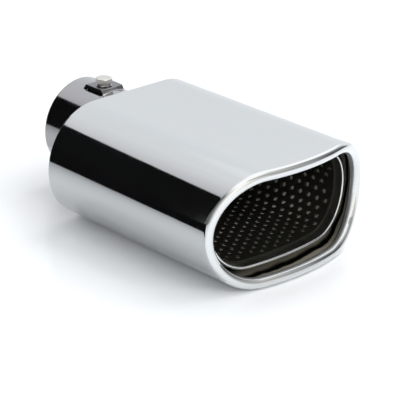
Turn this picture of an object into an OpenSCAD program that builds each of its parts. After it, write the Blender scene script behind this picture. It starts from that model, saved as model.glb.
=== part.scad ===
// Double-wall exhaust tip: an obround sleeve with a rolled, bowed mouth, a recessed inner
// sleeve with a perforated core, and a round inlet neck with a clamp screw on a raised bridge.
// +X runs from the inlet to the mouth and +Z is up. The origin is the centre of the inlet's end.

/* [Outer sleeve] */
// Width of the sleeve over its round sides
sleeve_w = 135; // [110:1:180]
// Height of the sleeve between its flat top and underside
sleeve_h = 75; // [65:1:95]
// Length from the sleeve's rear edge to the middle of the mouth
sleeve_l = 155; // [110:1:220]
// Thickness of the sleeve's sheet
sleeve_wall = 1.5; // [1:0.1:2]
// Radius of the roll at the mouth
rim_r = 3.4; // [2.5:0.1:4.5]
// Radius of the mouth's bow, seen from above
mouth_bow_r = 145; // [120:1:400]

/* [Inner sleeve] */
// Gap between the outer and the inner sleeve
wall_gap = 7.3; // [6:0.1:10]
// Thickness of the inner sleeve's sheet
inner_wall = 1; // [0.8:0.1:1.5]
// Thickness of the folded lip at the front of the inner sleeve
lip_t = 2.2; // [1.8:0.1:3]
// Length of the folded lip
lip_l = 12; // [8:0.5:20]
// Depth of the lip behind the middle of the mouth
lip_recess = 13.5; // [8:0.5:30]
// Radius of the bow that the lip and the core are cut to
inner_bow_r = 200; // [150:1:400]

/* [Perforated core] */
// Thickness of the core's sheet
core_wall = 1.2; // [0.8:0.1:1.5]
// Depth of the core's front edge behind the front of the lip
core_recess = 6.8; // [3:0.1:10]
// Distance between holes along a row
hole_pitch = 7; // [5.5:0.1:12]
// Distance between rows, measured around the core
row_pitch = 5.7; // [5:0.1:12]
// Diameter of a hole
hole_d = 3; // [2:0.1:3.5]
// Length of the perforated field, from the middle of the core's front edge
field_l = 98; // [40:1:100]
// Least distance from the core's front edge to the centre of a hole
field_margin = 2.5; // [2.5:0.5:12]

/* [Rear cap] */
// Thickness of the cap's sheet
cap_wall = 1.5; // [1:0.1:2]
// Length of the cap's flange along the sleeve
cap_flange_l = 10; // [5:0.5:20]
// Depth of the cap behind the sleeve's rear edge
cap_recess = 1.5; // [1:0.1:5]
// Gap between the cap's flange and the sleeve, filled by the weld
cap_gap = 0.1; // [0.1:0.05:0.3]

/* [Inlet neck] */
// Inside diameter of the neck, which slips over the tail pipe
neck_bore_d = 58; // [45:0.5:58]
// Thickness of the neck's wall
neck_wall = 1.5; // [1.2:0.1:2]
// Length of the neck behind the sleeve's rear edge
neck_l = 52; // [45:1:80]
// Sideways offset of the neck from the middle of the sleeve
neck_shift = 4; // [0:0.5:5]

/* [Bridge and clamp screw] */
// Distance from the end of the neck to the middle of the bridge
bridge_x = 23; // [15:0.5:32]
// Length of the bridge along the neck
bridge_l = 20; // [16:0.5:24]
// Width of the bridge across the neck
bridge_w = 18; // [14:0.5:22]
// Height of the bridge's top above the crown of the neck
bridge_rise = 1.8; // [1.6:0.1:4]
// Radius of the bends at the ends of the bridge
bridge_bend_r = 1.8; // [0.5:0.1:2.5]
// Nominal diameter of the screw's thread
screw_d = 6; // [4:1:8]
// Clearance between the screw and its tapped hole, on the radius
screw_gap = 0.05; // [0.02:0.01:0.1]
// Width of the hexagon head across its flats
head_af = 10; // [10:0.5:13]
// Height of the head
head_h = 4; // [3:0.1:6]
// Gap left between the head and the collar, for tightening
head_gap = 0.3; // [0.3:0.1:2]
// Clearance between the screw's tip and the bore, when it is backed off
tip_gap = 0.3; // [0.2:0.1:1]
// Outside diameter of the collar drawn up around the tapped hole
collar_d = 9.4; // [9:0.1:12]
// Height of the collar above the bridge
collar_h = 0.5; // [0.5:0.1:3]
// Gap between the nut plate and the bridge's outline above it
nut_gap = 0.5; // [0.3:0.1:2]

/* [Hidden] */
$fn = 96;
// Overlap of a cutting tool past the face that it cuts
cut = 1;
// Steps around half of the sleeve's section, along a flat and around the roll
side_steps = 32;
flat_steps = 10;
roll_steps = 18;
neck_r = neck_bore_d/2;
neck_or = neck_r + neck_wall;
rear_x = neck_l;
mouth_x = rear_x + sleeve_l;
lip_x = mouth_x - lip_recess;
core_x = lip_x - core_recess;
cap_x = rear_x + cap_recess;
floor_x = cap_x + cap_wall;
side_r = sleeve_h/2;
flat_half = sleeve_w/2 - side_r;
inner_inset = sleeve_wall + wall_gap;
core_inset = inner_inset + lip_t;
core_r = side_r - core_inset;
bridge_top = neck_or + bridge_rise;
bridge_under = bridge_top - neck_wall;
pocket_l = bridge_l - 2*neck_wall;
hole_r = screw_d/2 + screw_gap;
collar_top = bridge_top + collar_h;
head_z = collar_top + head_gap;
tip_z = neck_r + tip_gap;
steel = [0.83, 0.84, 0.85];
dark_steel = [0.16, 0.16, 0.15];

// Angle around the mouth's roll at which it meets the inside of the sleeve's wall
roll_end = 360 - acos(1 - sleeve_wall/rim_r);

// Forward edge of a bowed cut, at a distance y from the middle
function bow_x(front, r, y) = front - r + sqrt(r*r - y*y);

// Slope of that edge
function bow_slope(r, y) = -y/sqrt(r*r - y*y);

// Stations around the sleeve: [centre y, outward angle], from the middle of the underside
function stations() = concat(
    [for (i = [0:flat_steps - 1]) [-flat_half + 2*flat_half*i/flat_steps, -90]],
    [for (i = [0:side_steps - 1]) [flat_half, -90 + 180*i/side_steps]],
    [for (i = [0:flat_steps - 1]) [flat_half - 2*flat_half*i/flat_steps, 90]],
    [for (i = [0:side_steps - 1]) [-flat_half, 90 + 180*i/side_steps]]
);

// Outline of one station's wall: rear corner, the roll at the mouth, and back along the inside
function wall_ring(s) = let(
    n = [0, cos(s[1]), sin(s[1])],
    c = [0, s[0], 0] + (side_r - rim_r)*n,
    p = [bow_x(mouth_x, mouth_bow_r, c[1]) - rim_r, c[1], c[2]],
    t = [bow_slope(mouth_bow_r, c[1])*-sin(s[1]), -sin(s[1]), cos(s[1])],
    b = cross(n, t)/norm(t),
    outer = [0, s[0], 0] + side_r*n,
    inner = [0, s[0], 0] + (side_r - sleeve_wall)*n
) concat(
    [[rear_x, outer[1], outer[2]]],
    [for (i = [0:roll_steps]) let(a = roll_end*i/roll_steps) p + rim_r*(cos(a)*n + sin(a)*b)],
    [[rear_x, inner[1], inner[2]]]
);

// Closed skin through rings of equal length, the last ring joined to the first
module loop_skin(rings) {
    m = len(rings[0]);
    k = len(rings);
    polyhedron(
        points = [for (r = rings) each r],
        faces = [for (i = [0:k - 1], j = [0:m - 1])
            [i*m + j, i*m + (j + 1)%m, ((i + 1)%k)*m + (j + 1)%m, ((i + 1)%k)*m + j]],
        convexity = 6
    );
}

// Obround section, inset from the sleeve's outside, standing across X
module obround(inset) {
    r = side_r - inset;
    union() {
        for (s = [-1, 1]) translate([s*flat_half, 0]) circle(r);
        square([2*flat_half, 2*r], center = true);
    }
}

// Stands a section up across X and runs it between two places on X
module along_x(x0, x1) {
    translate([x0, 0, 0]) rotate([90, 0, 90]) linear_extrude(x1 - x0) children();
}

module tube_x(x0, x1, r) {
    translate([x0, 0, 0]) rotate([0, 90, 0]) cylinder(r = r, h = x1 - x0);
}

// Everything behind the bowed cut whose middle is at front
module behind_bow(front) {
    translate([front - inner_bow_r, 0, -sleeve_h]) cylinder(r = inner_bow_r, h = 2*sleeve_h, $fn = 256);
}

// Moves what belongs to the sleeve sideways, so that the neck stays on the X axis
module on_sleeve() {
    translate([0, -neck_shift, 0]) children();
}

module outer_sleeve() {
    color(steel) on_sleeve() loop_skin([for (s = stations()) wall_ring(s)]);
}

module rear_cap() {
    inset = sleeve_wall + cap_gap;
    color(steel) difference() {
        on_sleeve() difference() {
            along_x(cap_x, cap_x + cap_flange_l) obround(inset);
            along_x(floor_x, cap_x + cap_flange_l + cut) obround(inset + cap_wall);
        }
        tube_x(cap_x - cut, floor_x + cut, neck_or);
    }
}

module inner_sleeve() {
    color(steel) on_sleeve() intersection() {
        difference() {
            along_x(floor_x, mouth_x) obround(inner_inset);
            intersection() {
                along_x(floor_x - cut, mouth_x) obround(inner_inset + inner_wall);
                behind_bow(lip_x - lip_l);
            }
            along_x(floor_x - cut, mouth_x + cut) obround(core_inset);
        }
        behind_bow(lip_x);
    }
}

// Place on the core's outside at a distance s around it from the middle of the underside, given
// as [centre y, outward angle]
function core_place(s) = let(
    turn = 2*flat_half,
    side = PI*core_r,
    at = (s + flat_half)%(2*turn + 2*side)
)
    at < turn ? [at - flat_half, -90]
    : at < turn + side ? [flat_half, (at - turn)/side*180 - 90]
    : at < 2*turn + side ? [flat_half - (at - turn - side), 90]
    : [-flat_half, (at - 2*turn - side)/side*180 + 90];

module hole_cut() {
    translate([0, 0, core_r - core_wall - cut]) cylinder(d = hole_d, h = core_wall + 2*cut, $fn = 16);
}

module perforated_core() {
    around = 4*flat_half + 2*PI*core_r;
    rows = 2*round(around/row_pitch/2);
    columns = floor(field_l/hole_pitch);
    color(dark_steel) on_sleeve() difference() {
        intersection() {
            difference() {
                along_x(floor_x, mouth_x) obround(core_inset);
                along_x(floor_x - cut, mouth_x + cut) obround(core_inset + core_wall);
            }
            behind_bow(core_x);
        }
        for (j = [0:rows - 1], i = [1:columns]) let(
            p = core_place(j*around/rows),
            x = core_x - hole_pitch*(i - (j + 1)%2/2),
            edge_x = bow_x(core_x, inner_bow_r, p[0] + core_r*cos(p[1]))
        )
            if (x < edge_x - field_margin) translate([x, p[0], 0]) rotate([p[1] - 90, 0, 0]) hole_cut();
    }
}

// Side view of the bridge, with its two upper corners rounded
module bridge_side(l, top) {
    r = bridge_bend_r;
    union() {
        translate([-l/2, 0]) square([l, top - r]);
        translate([-l/2 + r, 0]) square([l - 2*r, top]);
        for (s = [-1, 1]) translate([s*(l/2 - r), top - r]) circle(r);
    }
}

module inlet_neck() {
    color(steel) difference() {
        union() {
            tube_x(0, floor_x, neck_or);
            translate([bridge_x, bridge_w/2, 0]) rotate([90, 0, 0])
                linear_extrude(bridge_w) bridge_side(bridge_l, bridge_top);
            translate([bridge_x, 0, bridge_under]) cylinder(d = collar_d, h = collar_top - bridge_under);
        }
        tube_x(-cut, floor_x + cut, neck_r);
        translate([bridge_x - pocket_l/2, -bridge_w/2 - cut, 0])
            cube([pocket_l, bridge_w + 2*cut, bridge_under]);
        translate([bridge_x, 0, 0]) cylinder(r = hole_r, h = collar_top + cut);
    }
}

// Plate under the bridge that holds most of the screw's thread, hollowed to clear the bore
module nut_plate() {
    l = pocket_l - 2*nut_gap;
    w = bridge_w - 2*nut_gap;
    color(dark_steel) difference() {
        translate([bridge_x - l/2, -w/2, neck_r/2]) cube([l, w, bridge_under - neck_r/2]);
        tube_x(bridge_x - l, bridge_x + l, tip_z);
        translate([bridge_x, 0, 0]) cylinder(r = hole_r, h = collar_top);
    }
}

// Outline of the screw, revolved around its axis: chamfered tip, shank, washer face and head
module screw_outline(over_r) {
    tip = screw_d*0.1;
    face_r = head_af*0.48;
    face_h = 0.3;
    crown = (over_r - head_af/2)*0.6;
    polygon([
        [0, tip_z], [screw_d/2 - tip, tip_z], [screw_d/2, tip_z + tip], [screw_d/2, head_z],
        [face_r, head_z], [face_r, head_z + face_h], [over_r, head_z + face_h],
        [over_r, head_z + head_h - crown], [head_af*0.46, head_z + head_h], [0, head_z + head_h]
    ]);
}

module clamp_screw() {
    over_r = head_af/sqrt(3);
    color(steel) translate([bridge_x, 0, 0]) intersection() {
        rotate_extrude() screw_outline(over_r);
        union() {
            cylinder(r = screw_d/2, h = head_z);
            translate([0, 0, head_z]) rotate([0, 0, 30]) cylinder(r = over_r, h = head_h, $fn = 6);
        }
    }
}

outer_sleeve();
rear_cap();
inlet_neck();
inner_sleeve();
perforated_core();
clamp_screw();
nut_plate();
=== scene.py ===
"""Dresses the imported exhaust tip: smooth polished sleeves with a rolled mouth, a perforated core,
weld seams, the pressed bridge, its screw and nut plate, on a white table under soft light."""

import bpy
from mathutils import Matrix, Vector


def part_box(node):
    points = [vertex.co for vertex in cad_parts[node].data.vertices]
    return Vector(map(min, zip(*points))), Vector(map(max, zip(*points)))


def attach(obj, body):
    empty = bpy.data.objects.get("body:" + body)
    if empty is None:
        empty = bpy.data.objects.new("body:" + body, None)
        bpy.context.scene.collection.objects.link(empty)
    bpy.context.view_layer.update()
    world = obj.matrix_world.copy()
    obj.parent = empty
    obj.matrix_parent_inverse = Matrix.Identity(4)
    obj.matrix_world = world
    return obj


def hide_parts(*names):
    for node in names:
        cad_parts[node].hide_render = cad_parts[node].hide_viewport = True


bl_info = {
    "name": "Exhaust Tip",
    "version": (1, 0, 0),
    "blender": (4, 5, 0),
    "location": "3D View > Sidebar > Exhaust Tip",
    "description": "Builds the visible pieces of a double-wall exhaust tip around its packed frame",
    "category": "Add Mesh",
}

from contextlib import contextmanager
from math import acos, asin, atan2, ceil, cos, pi, radians, sin, sqrt, tan

import bmesh
import bpy
from bpy.props import FloatProperty, FloatVectorProperty, IntProperty, PointerProperty
from mathutils import Matrix, Vector

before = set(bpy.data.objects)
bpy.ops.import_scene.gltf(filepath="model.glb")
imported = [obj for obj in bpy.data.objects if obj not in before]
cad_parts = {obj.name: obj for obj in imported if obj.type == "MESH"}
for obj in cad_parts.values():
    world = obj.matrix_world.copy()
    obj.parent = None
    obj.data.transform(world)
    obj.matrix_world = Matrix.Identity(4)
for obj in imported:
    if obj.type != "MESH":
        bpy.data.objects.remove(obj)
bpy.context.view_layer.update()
MM = 0.001

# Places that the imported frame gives
SLEEVE_LOW, SLEEVE_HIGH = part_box("outer_sleeve")
LINER_LOW, LINER_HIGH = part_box("inner_sleeve")
CORE_LOW, CORE_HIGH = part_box("perforated_core")
CAP_LOW, CAP_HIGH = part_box("rear_cap")
NECK_LOW, NECK_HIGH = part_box("inlet_neck")
SCREW_LOW, SCREW_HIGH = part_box("clamp_screw")
PLATE_LOW, PLATE_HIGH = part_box("nut_plate")
CENTRE_Y = (SLEEVE_LOW.y + SLEEVE_HIGH.y) / 2
FLAT_HALF = (SLEEVE_HIGH.y - SLEEVE_LOW.y) / 2 - SLEEVE_HIGH.z
NECK_RADIUS = -NECK_LOW.z
FLOOR_Z = SLEEVE_LOW.z


# ---------------------------------------------------------------- sizes and colours

def length_prop(name, description, millimetres):
    return FloatProperty(name=name, description=description, default=millimetres * MM,
                         subtype="DISTANCE", unit="LENGTH")


def colour_prop(name, description, default):
    return FloatVectorProperty(name=name, description=description, default=default,
                               subtype="COLOR", size=3)


class SleeveSizes(bpy.types.PropertyGroup):
    wall: length_prop("Wall", "Thickness of the outer sleeve's sheet", 1.5)
    rim_radius: length_prop("Rim radius", "Radius of the roll at the mouth", 3.55)
    mouth_bow: length_prop("Mouth bow", "Radius of the mouth's bow in plan", 145)
    rear_edge: length_prop("Rear edge", "Break of the sleeve's rear edges", 0.25)
    side_steps: IntProperty(name="Side steps", description="Steps around each round side",
                            default=88, min=16, max=256)
    flat_steps: IntProperty(name="Flat steps", description="Steps across each flat",
                            default=30, min=4, max=128)


class LinerSizes(bpy.types.PropertyGroup):
    wall: length_prop("Wall", "Thickness of the inner sleeve's sheet", 1.0)
    lip_thickness: length_prop("Lip thickness", "Thickness of the folded lip", 2.2)
    lip_length: length_prop("Lip length", "Length of the folded lip", 12)
    bow: length_prop("Bow", "Radius of the bow of the lip and the core", 200)


class CoreSizes(bpy.types.PropertyGroup):
    wall: length_prop("Wall", "Thickness of the perforated sheet", 1.2)
    pitch: length_prop("Pitch", "Distance between holes along a row", 7)
    row_pitch: length_prop("Row pitch", "Distance between rows around the core", 5.7)
    hole_radius: length_prop("Hole radius", "Radius of a punched hole", 1.5)
    lip_height: length_prop("Lip height", "Height of a hole's raised lip", 0.12)
    margin: length_prop("Margin", "Least distance from the front edge to a hole's centre", 2.5)
    packing_depth: length_prop("Packing depth", "Depth of the packing in a hole", 0.5)
    columns: IntProperty(name="Columns", description="Holes along a row", default=14, min=1, max=30)


class NeckSizes(bpy.types.PropertyGroup):
    wall: length_prop("Wall", "Thickness of the neck's wall", 1.5)
    bridge_x: length_prop("Bridge place", "Middle of the bridge from the inlet", 23)
    bridge_length: length_prop("Bridge length", "Length of the pressed bridge", 20)
    bridge_width: length_prop("Bridge width", "Width of the pressed bridge", 18)
    bridge_rise: length_prop("Bridge rise", "Bridge's top above the crown", 1.8)
    slit: length_prop("Slit", "Width of the slit at each side of the bridge", 0.6)
    ramp: length_prop("Ramp", "Length of the bridge's bent ends", 2.9)
    collar_radius: length_prop("Collar radius", "Outside of the tapped collar", 4.7)
    tapped_radius: length_prop("Tapped radius", "Radius of the tapped hole", 3.05)


class ScrewSizes(bpy.types.PropertyGroup):
    thread: length_prop("Thread", "Nominal diameter of the thread", 6)
    pitch: length_prop("Pitch", "Pitch of the thread", 1)
    head_height: length_prop("Head height", "Height of the hexagon head", 4)


class SeamSizes(bpy.types.PropertyGroup):
    width: length_prop("Width", "Width of a weld seam", 2.4)
    height: length_prop("Height", "Height of a weld seam", 0.9)
    ripple: length_prop("Ripple", "Distance between a seam's ripples", 1.1)


class TipFinishes(bpy.types.PropertyGroup):
    steel: colour_prop("Steel", "Colour of the polished steel", (0.69, 0.71, 0.725))
    neck: colour_prop("Neck steel", "Colour of the neck's plainer steel", (0.465, 0.46, 0.478))
    # Darkened as a painted reflection of the dark things that the bridge's top mirrors
    press: colour_prop("Pressed steel", "Colour of the pressed bridge", (0.22, 0.224, 0.236))
    satin: colour_prop("Satin steel", "Colour of the unpolished steel", (0.56, 0.55, 0.52))
    hem: colour_prop("Lip steel", "Colour of the inner sleeve's lip inside", (0.40, 0.39, 0.35))
    recess: colour_prop("Recess steel", "Colour of the heat-tinted steel in the recess",
                        (0.50, 0.46, 0.37))
    # Near-black painted shade for the slit's sides and the nut plate in the gap under the bridge
    cut: colour_prop("Cut edge", "Near-black painted shade on the sheared edges and the nut plate",
                     (0.02, 0.02, 0.021))
    packing: colour_prop("Packing", "Colour of the packing behind the core", (0.42, 0.40, 0.345))
    dark: colour_prop("Dark coat", "Colour of the core's dark coat", (0.03, 0.029, 0.023))
    screw: colour_prop("Screw", "Colour of the plated screw", (0.74, 0.72, 0.68))
    table: colour_prop("Table", "Colour of the table", (0.95, 0.955, 0.965))


# ---------------------------------------------------------------- helpers

def bow_drop(radius, y):
    """How far a bowed front edge lies behind its middle, at a distance y from the middle."""
    return radius - sqrt(radius * radius - (y - CENTRE_Y) ** 2)


def stations(side_steps, flat_steps):
    """Places around the oval section: (centre y, outward angle), from the middle underneath."""
    half = FLAT_HALF
    places = [(-half + 2 * half * i / flat_steps, -pi / 2) for i in range(flat_steps)]
    places += [(half, -pi / 2 + pi * i / side_steps) for i in range(side_steps)]
    places += [(half - 2 * half * i / flat_steps, pi / 2) for i in range(flat_steps)]
    places += [(-half, pi / 2 + pi * i / side_steps) for i in range(side_steps)]
    return [(CENTRE_Y + y, a) for y, a in places]


def at_station(station, x, r):
    return Vector((x, station[0] + r * cos(station[1]), r * sin(station[1])))


def oval_reach(place):
    """Distance of a place from the line or the centre that its part of the oval is drawn about."""
    return Vector((max(0.0, abs(place.y - CENTRE_Y) - FLAT_HALF), place.z)).length


def arc(cx, cr, radius, start, end, steps):
    """Points (x, r) of an arc in a wall's section; angle 0 is outward and 90 degrees is forward."""
    turns = [radians(start + (end - start) * i / steps) for i in range(steps + 1)]
    return [(cx + radius * sin(t), cr + radius * cos(t)) for t in turns]


def limited(value):
    return max(0.0, min(1.0, value))


def sweep_faces(count, size, closed=True):
    """Quads between rings of equal size, the last ring joined to the first when closed."""
    faces = []
    for i in range(count if closed else count - 1):
        a, b = i * size, (i + 1) % count * size
        faces += [(a + j, a + (j + 1) % size, b + (j + 1) % size, b + j) for j in range(size)]
    return faces


@contextmanager
def edited(mesh):
    """The mesh opened for editing, and written back at the end."""
    bm = bmesh.new()
    bm.from_mesh(mesh)
    yield bm
    bm.to_mesh(mesh)
    bm.free()


def placed(name, data):
    """A new object in the scene, at the origin."""
    piece = bpy.data.objects.new(name, data)
    bpy.context.scene.collection.objects.link(piece)
    return piece


def smooth(mesh, crease):
    """Shades a mesh smooth and keeps edges sharper than the crease crisp."""
    mesh.shade_smooth()
    mesh.set_sharp_from_angle(angle=radians(crease))


def mesh_piece(name, points, faces, material, crease=32):
    """A smooth mesh object with outward faces."""
    mesh = bpy.data.meshes.new(name)
    mesh.from_pydata([tuple(p) for p in points], [], faces)
    with edited(mesh) as bm:
        bmesh.ops.remove_doubles(bm, verts=bm.verts, dist=1e-7)
        bmesh.ops.recalc_face_normals(bm, faces=bm.faces)
    smooth(mesh, crease)
    mesh.materials.append(material)
    return placed(name, mesh)


def swept_piece(name, rings, material):
    """A closed piece through rings of equal size, one at each station of the oval."""
    points = [p for ring in rings for p in ring]
    return mesh_piece(name, points, sweep_faces(len(rings), len(rings[0])), material)


def join_shells(shells):
    """Puts several (points, faces) lists into one."""
    points, faces = [], []
    for more_points, more_faces in shells:
        start = len(points)
        points += more_points
        faces += [tuple(start + i for i in f) for f in more_faces]
    return points, faces


def lathe(profile, steps, centre):
    """A closed profile of (radius, height) turned about an upright axis through the centre."""
    points = []
    for i in range(steps):
        t = 2 * pi * i / steps
        points += [centre + Vector((r * cos(t), r * sin(t), h)) for r, h in profile]
    return points, sweep_faces(steps, len(profile))


def add_bevel(piece, width, angle):
    edge = piece.modifiers.new("Edges", "BEVEL")
    edge.width, edge.segments = width, 2
    edge.limit_method, edge.angle_limit = "ANGLE", radians(angle)


def apply_modifiers(piece):
    """Puts the mesh that the piece's modifiers make in place of its own."""
    graph = bpy.context.evaluated_depsgraph_get()
    mesh = bpy.data.meshes.new_from_object(piece.evaluated_get(graph), depsgraph=graph)
    piece.modifiers.clear()
    piece.data = mesh


def mark(piece, name, value_at):
    """Stores a value for each point of the piece, worked out from its place."""
    layer = piece.data.attributes.new(name, "FLOAT", "POINT")
    layer.data.foreach_set("value", [value_at(v.co) for v in piece.data.vertices])


def settle(piece, slot, *nodes):
    """Hands a finished piece to the frame."""
    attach(piece, "root")
    if nodes:
        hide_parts(*nodes)


# ---------------------------------------------------------------- shader groups and finishes

# Stretch of the polishing lines along the tip, round it, and for an even grain
ALONG, ROUND_IT, EVEN = (40, 1500, 1500), (1800, 60, 60), (600, 600, 600)
# The metals with nothing but polish marks: roughness, smear, lines and strength of the relief
PLAIN_METALS = (
    ("neck", "Polished steel neck", 0.06, 0.05, ROUND_IT, 0.14),
    # The pressed steel's dark colour is a painted reflection of dark surroundings
    ("press", "Pressed steel bridge", 0.16, 0.10, EVEN, 0.30),
    ("satin", "Satin steel inside", 0.34, 0.10, ALONG, 0.35),
    ("hem", "Satin steel of the lip", 0.30, 0.12, ALONG, 0.35),
    # The cut finish is near-black painted shade for the gap under the bridge
    ("cut", "Sheared edge", 0.45, 0.10, EVEN, 0.40),
    ("screw", "Plated screw", 0.27, 0.08, EVEN, 0.15))
# Near-black painted shade for the gap behind the inner sleeve's front and for the depth of the
# recess
PAINTED_SHADE = (0.004, 0.004, 0.004, 1)
STRAW, BLUE = (0.52, 0.42, 0.27, 1), (0.30, 0.33, 0.42, 1)
VIEWPORT_GREY = (0.6, 0.6, 0.62, 1)


class Nodes:
    """Short calls that add linked nodes to a node tree."""

    def __init__(self, tree):
        self.tree = tree

    def add(self, kind, inputs=None, **settings):
        node = self.tree.nodes.new(kind)
        for key, value in settings.items():
            setattr(node, key, value)
        for key, value in (inputs or {}).items():
            self.feed(node.inputs[key], value)
        return node

    def feed(self, socket, value):
        if isinstance(value, bpy.types.NodeSocket):
            self.tree.links.new(value, socket)
        else:
            socket.default_value = value

    def math(self, operation, a, b=0.0, clamp=False):
        node = self.add("ShaderNodeMath", {0: a, 1: b}, operation=operation, use_clamp=clamp)
        return node.outputs[0]

    def span(self, value, low, high, to_low=0.0, to_high=1.0):
        return self.add("ShaderNodeMapRange", {
            "Value": value, "From Min": low, "From Max": high,
            "To Min": to_low, "To Max": to_high}).outputs[0]

    def blend(self, factor, a, b):
        return self.add("ShaderNodeMix", {0: factor, 6: a, 7: b}, data_type="RGBA").outputs[2]

    def choose(self, factor, a, b):
        """A mix of two surfaces or backgrounds."""
        return self.add("ShaderNodeMixShader", {0: factor, 1: a, 2: b}).outputs[0]

    def parts(self, vector):
        return self.add("ShaderNodeSeparateXYZ", {0: vector}).outputs

    def joined(self, x, y, z=0.0):
        return self.add("ShaderNodeCombineXYZ", {0: x, 1: y, 2: z}).outputs[0]

    def place(self):
        return self.add("ShaderNodeTexCoord").outputs["Object"]

    def noise(self, vector, scale, detail, **more):
        inputs = {"Vector": vector, "Scale": scale, "Detail": detail, **more}
        return self.add("ShaderNodeTexNoise", inputs).outputs[0]

    def marked(self, name):
        """A value that the piece stores for each point."""
        return self.add("ShaderNodeAttribute", attribute_name=name).outputs["Fac"]

    def ramp(self, value, stops):
        """A colour ramp with its stops given as (place, colour)."""
        node = self.add("ShaderNodeValToRGB", {0: value})
        marks = node.color_ramp.elements
        while len(marks) < len(stops):
            marks.new(0.5)
        for stop, (place, _) in zip(marks, stops):
            stop.position = place
        for stop, (_, colour) in zip(marks, stops):
            stop.color = (*colour, 1)
        return node.outputs[0]

    def by_azimuth(self, way, stops):
        """A colour ramp round the horizon, its stops given as (degrees, colour)."""
        turn = self.math("DIVIDE", self.math("ARCTAN2", way[1], way[0]), 2 * pi)
        marks = [(azimuth / 360 + 0.5, colour) for azimuth, colour in stops]
        return self.ramp(self.math("ADD", turn, 0.5), marks)


def blank_material(name):
    """A material with an empty node tree, and its nodes."""
    material = bpy.data.materials.new(name)
    material.use_nodes = True
    material.node_tree.nodes.clear()
    return material, Nodes(material.node_tree)


def shader_group(name, sockets):
    """An empty shader group with its named inputs and outputs: the group, nodes and two ends."""
    group = bpy.data.node_groups.new(name, "ShaderNodeTree")
    for label, direction, kind, default in sockets:
        socket = group.interface.new_socket(label, in_out=direction, socket_type=kind)
        if default is not None:
            socket.default_value = default
    n = Nodes(group)
    return group, n, n.add("NodeGroupInput").outputs, n.add("NodeGroupOutput").inputs


def polish_group():
    """Marks of polishing: fine lines along X or around it, with soft smears of roughness."""
    group, n, ins, outs = shader_group("Polish marks", [
        ("Colour", "INPUT", "NodeSocketColor", (0.7, 0.7, 0.7, 1)),
        ("Smear", "INPUT", "NodeSocketFloat", 0.05),
        ("Roughness", "INPUT", "NodeSocketFloat", 0.06),
        ("Line Scale", "INPUT", "NodeSocketVector", (60, 2400, 2400)),
        ("Colour", "OUTPUT", "NodeSocketColor", None),
        ("Roughness", "OUTPUT", "NodeSocketFloat", None),
        ("Height", "OUTPUT", "NodeSocketFloat", None),
    ])
    place = n.place()
    stretched = n.add("ShaderNodeVectorMath", {0: place, 1: ins["Line Scale"]},
                      operation="MULTIPLY").outputs[0]
    lines = n.noise(stretched, 1.0, 3.0, Roughness=0.6)
    smears = n.noise(place, 26.0, 4.0, Roughness=0.55, Distortion=0.6)
    spots = n.noise(place, 7.0, 1.0)
    smeared = n.math("MULTIPLY", n.span(smears, 0.35, 0.75), ins["Smear"])
    rough = n.math("ADD", ins["Roughness"], smeared)
    tone = n.math("ADD", n.span(spots, 0.3, 0.7, 0.975, 1.015),
                  n.span(lines, 0.3, 0.7, -0.012, 0.012))
    tint = n.add("ShaderNodeVectorMath", {0: ins["Colour"], "Scale": tone}, operation="SCALE")
    n.feed(outs["Colour"], tint.outputs[0])
    n.feed(outs["Roughness"], n.math("ADD", rough, n.span(lines, 0.3, 0.8, -0.012, 0.02)))
    n.feed(outs["Height"], lines)
    return group


def finish_material(name, colour):
    """A material with its own Principled shader: the material, its nodes and the shader."""
    material, n = blank_material(name)
    material.diffuse_color = VIEWPORT_GREY
    shader = n.add("ShaderNodeBsdfPrincipled", {"Base Color": (*colour, 1)})
    n.add("ShaderNodeOutputMaterial", {"Surface": shader.outputs[0]})
    return material, n, shader


def metal(name, group, colour, roughness, smear, lines, bump):
    """A metal finish: the polish marks give its colour, roughness and fine relief."""
    material, n, shader = finish_material(name, colour)
    shader.inputs["Metallic"].default_value = 1.0
    marks = n.add("ShaderNodeGroup", node_tree=group)
    for label, value in (("Colour", (*colour, 1)), ("Roughness", roughness),
                         ("Smear", smear), ("Line Scale", lines)):
        marks.inputs[label].default_value = value
    relief = n.add("ShaderNodeBump", {"Strength": bump, "Distance": 0.00002,
                                      "Height": marks.outputs["Height"]})
    n.feed(shader.inputs["Base Color"], marks.outputs["Colour"])
    n.feed(shader.inputs["Roughness"], marks.outputs["Roughness"])
    n.feed(shader.inputs["Normal"], relief.outputs[0])
    return material, n, shader.inputs, marks.outputs


def sleeve_finish(marks, colour):
    """Bright polish that turns dull on the inner side of the roll."""
    material, n, shader, steel = metal("Polished steel sleeve", marks, colour,
                                       0.045, 0.03, ALONG, 0.10)
    dull = n.math("MULTIPLY", n.marked("curl"), 0.42)
    n.feed(shader["Roughness"], n.math("ADD", steel["Roughness"], dull))
    return material


def recess_finish(marks, colour):
    """Tinted steel with painted shade: a wavy dark band behind the inner sleeve's front, black
    farther in.
    """
    material, n, shader, steel = metal("Tinted steel in the recess", marks, colour,
                                       0.42, 0.10, EVEN, 0.3)
    waves = n.span(n.noise(n.place(), 60.0, 2.0), 0.3, 0.7, -1.3 * MM, 1.3 * MM)
    depth = n.math("ADD", n.marked("behind"), waves)
    # Painted shade: a wavy dark band from about 1 to 8.5 mm behind the inner sleeve's front, then
    # black from 12 mm in
    band = n.math("MULTIPLY", n.span(depth, 1.0 * MM, 2.4 * MM),
                  n.span(depth, 5.5 * MM, 8.5 * MM, 1.0, 0.0))
    painted_shade = n.math("MAXIMUM", band, n.span(depth, 12.0 * MM, 20.0 * MM))
    n.feed(shader["Base Color"], n.blend(painted_shade, steel["Colour"], PAINTED_SHADE))
    n.feed(shader["Metallic"], n.span(painted_shade, 0.0, 1.0, 0.45, 0.9))
    return material


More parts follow.
